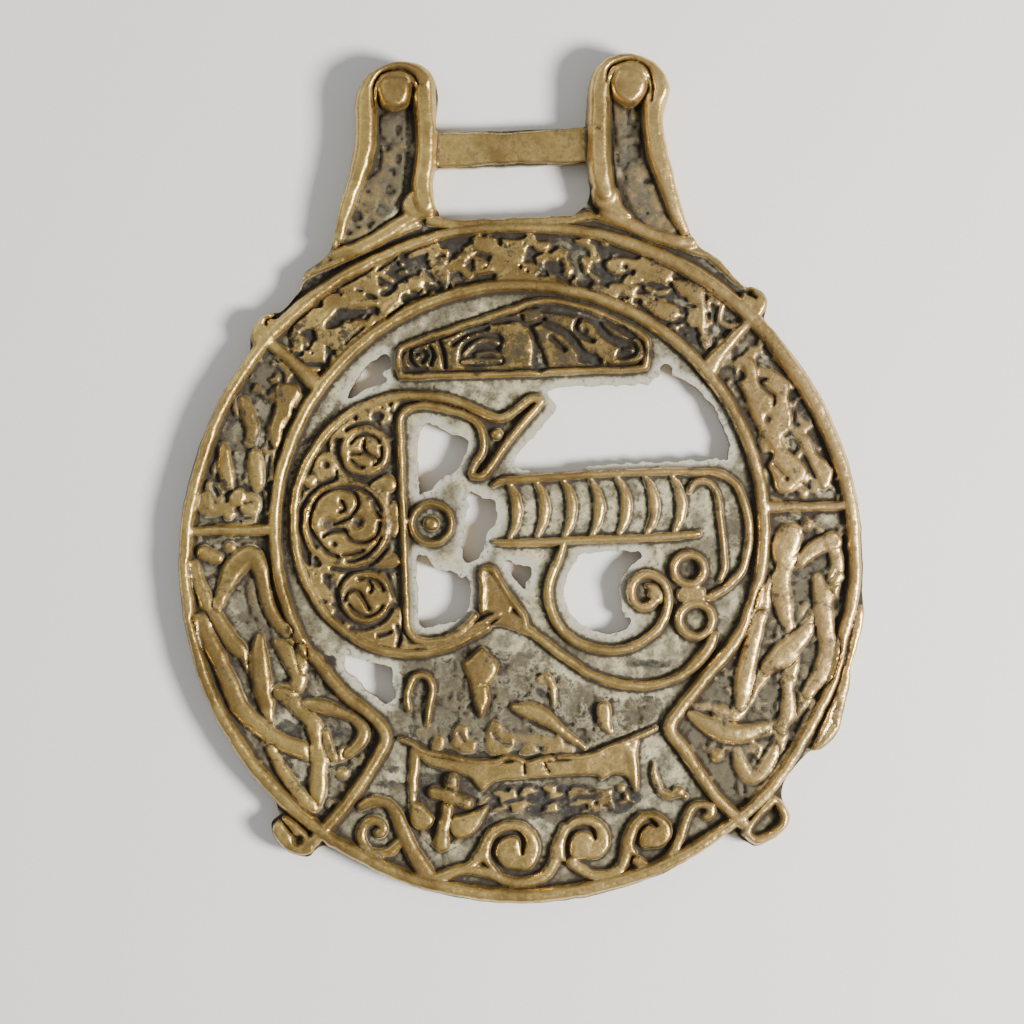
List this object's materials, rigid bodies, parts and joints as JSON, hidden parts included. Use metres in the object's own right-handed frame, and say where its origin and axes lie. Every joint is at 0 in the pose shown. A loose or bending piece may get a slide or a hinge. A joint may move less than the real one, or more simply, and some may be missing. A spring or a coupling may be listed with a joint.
{
  "type": "horse brass",
  "caption": "Round cast brass harness ornament, pierced and carved with knotwork, waves and a ship, with a strap slot between two horns.",
  "frame": {"origin": "centre of the bounding box on the flat back, which lies on the surface at z = 0", "axes": "+Z out of the carved face, +Y from the disc towards the strap slot, +X to the right seen from the front"},
  "size_m": [0.08, 0.0986, 0.0052],
  "materials": {
    "cast_brass": "sand cast, worn satin on the ridges, dark tarnish and pale polish residue in the hollows"
  },
  "bodies": {
    "root": {"horse_brass": "cast_brass"}
  },
  "joints": []
}
